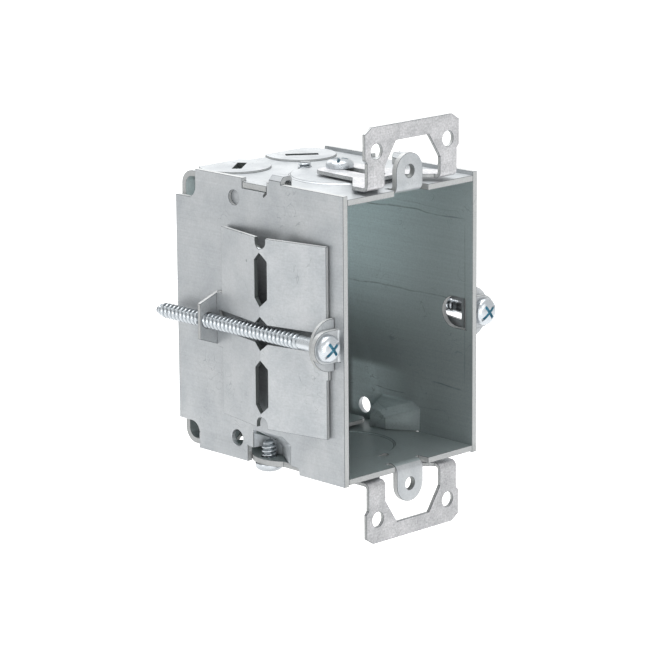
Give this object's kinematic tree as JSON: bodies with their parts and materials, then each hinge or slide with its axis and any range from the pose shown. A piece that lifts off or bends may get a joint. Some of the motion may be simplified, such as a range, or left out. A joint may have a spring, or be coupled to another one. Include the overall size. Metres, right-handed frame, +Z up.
{
  "type": "switch box",
  "caption": "Gangable steel switch box with sliding plaster ears, fold-out wall clamps drawn by long screws, screwed side panels and inner cable clamps.",
  "frame": {"origin": "middle of the four ear holes, in the plane of the ears' back faces (the wall's face)", "axes": "+X to the right seen from the room, +Y into the wall, +Z up"},
  "size_m": [0.0664, 0.0667, 0.1098],
  "materials": {
    "galvanized_sheet": "bright galvanized sheet, faint spangle",
    "galvanized_ear": "galvanized sheet with a clear spangle",
    "zinc_screw": "bright zinc plate"
  },
  "bodies": {
    "box": {"box_body": "galvanized_sheet", "side_panel_left": "galvanized_sheet", "side_panel_right": "galvanized_sheet", "clamp_front_tab_left": "galvanized_sheet", "clamp_front_tab_right": "galvanized_sheet", "cable_clamp_top": "galvanized_sheet", "cable_clamp_bottom": "galvanized_sheet"},
    "clamp_front_leaf_left": {"clamp_front_leaf_left": "galvanized_sheet"},
    "clamp_rear_leaf_left": {"clamp_rear_leaf_left": "galvanized_sheet"},
    "clamp_rear_tab_left": {"clamp_rear_tab_left": "galvanized_sheet"},
    "clamp_screw_left": {"clamp_screw_left": "zinc_screw"},
    "lock_screw_left": {"lock_screw_left": "zinc_screw"},
    "clamp_front_leaf_right": {"clamp_front_leaf_right": "galvanized_sheet"},
    "clamp_rear_leaf_right": {"clamp_rear_leaf_right": "galvanized_sheet"},
    "clamp_rear_tab_right": {"clamp_rear_tab_right": "galvanized_sheet"},
    "clamp_screw_right": {"clamp_screw_right": "zinc_screw"},
    "lock_screw_right": {"lock_screw_right": "zinc_screw"},
    "plaster_ear_top": {"plaster_ear_top": "galvanized_ear"},
    "ear_screw_top": {"ear_screw_top": "zinc_screw"},
    "cable_clamp_screw_top": {"cable_clamp_screw_top": "zinc_screw"},
    "plaster_ear_bottom": {"plaster_ear_bottom": "galvanized_ear"},
    "ear_screw_bottom": {"ear_screw_bottom": "zinc_screw"},
    "cable_clamp_screw_bottom": {"cable_clamp_screw_bottom": "zinc_screw"}
  },
  "joints": [
    {"name": "clamp_fold_left", "type": "hinge", "parent": "box", "child": "clamp_front_leaf_left", "pos_m": [-0.02582, 0.004, -0.00035], "axis": [0, 0, 1], "range_deg": [0, 40]},
    {"name": "clamp_middle_left", "type": "hinge", "parent": "clamp_front_leaf_left", "child": "clamp_rear_leaf_left", "pos_m": [-0.02997, 0.02505, -0.00035], "axis": [0, 0, 1], "range_deg": [-80, 0]},
    {"name": "clamp_tab_turn_left", "type": "hinge", "parent": "clamp_rear_leaf_left", "child": "clamp_rear_tab_left", "pos_m": [-0.02582, 0.0461, -0.00035], "axis": [0, 0, 1], "range_deg": [0, 40]},
    {"name": "clamp_screw_turn_left", "type": "hinge", "parent": "box", "child": "clamp_screw_left", "pos_m": [-0.02893, 0.0013, -0.00035], "axis": [0, 1, 0], "continuous": true},
    {"name": "lock_screw_turn_left", "type": "hinge", "parent": "box", "child": "lock_screw_left", "pos_m": [-0.022, 0.0306, -0.0374], "axis": [0, 0, 1], "continuous": true},
    {"name": "clamp_fold_right", "type": "hinge", "parent": "box", "child": "clamp_front_leaf_right", "pos_m": [0.02582, 0.004, -0.00035], "axis": [0, 0, -1], "range_deg": [0, 40]},
    {"name": "clamp_middle_right", "type": "hinge", "parent": "clamp_front_leaf_right", "child": "clamp_rear_leaf_right", "pos_m": [0.02997, 0.02505, -0.00035], "axis": [0, 0, -1], "range_deg": [-80, 0]},
    {"name": "clamp_tab_turn_right", "type": "hinge", "parent": "clamp_rear_leaf_right", "child": "clamp_rear_tab_right", "pos_m": [0.02582, 0.0461, -0.00035], "axis": [0, 0, -1], "range_deg": [0, 40]},
    {"name": "clamp_screw_turn_right", "type": "hinge", "parent": "box", "child": "clamp_screw_right", "pos_m": [0.02893, 0.0013, -0.00035], "axis": [0, 1, 0], "continuous": true},
    {"name": "lock_screw_turn_right", "type": "hinge", "parent": "box", "child": "lock_screw_right", "pos_m": [0.022, 0.0306, -0.0374], "axis": [0, 0, 1], "continuous": true},
    {"name": "ear_slide_top", "type": "slide", "parent": "box", "child": "plaster_ear_top", "axis": [0, 1, 0], "range_m": [0, 0.0138]},
    {"name": "ear_screw_turn_top", "type": "hinge", "parent": "box", "child": "ear_screw_top", "pos_m": [0, 0.0257, 0.03935], "axis": [0, 0, 1], "continuous": true},
    {"name": "cable_screw_turn_top", "type": "hinge", "parent": "box", "child": "cable_clamp_screw_top", "pos_m": [0, 0.039, 0.0346], "axis": [0, 0, 1], "continuous": true},
    {"name": "ear_slide_bottom", "type": "slide", "parent": "box", "child": "plaster_ear_bottom", "axis": [0, 1, 0], "range_m": [0, 0.0138]},
    {"name": "ear_screw_turn_bottom", "type": "hinge", "parent": "box", "child": "ear_screw_bottom", "pos_m": [0, 0.0257, -0.03935], "axis": [0, 0, 1], "continuous": true},
    {"name": "cable_screw_turn_bottom", "type": "hinge", "parent": "box", "child": "cable_clamp_screw_bottom", "pos_m": [0, 0.039, -0.0346], "axis": [0, 0, 1], "continuous": true}
  ],
  "couplings": [
    {"joint": "clamp_middle_left", "follows": "clamp_fold_left", "ratio": -2},
    {"joint": "clamp_tab_turn_left", "follows": "clamp_fold_left", "ratio": 1},
    {"joint": "clamp_middle_right", "follows": "clamp_fold_right", "ratio": -2},
    {"joint": "clamp_tab_turn_right", "follows": "clamp_fold_right", "ratio": 1}
  ]
}
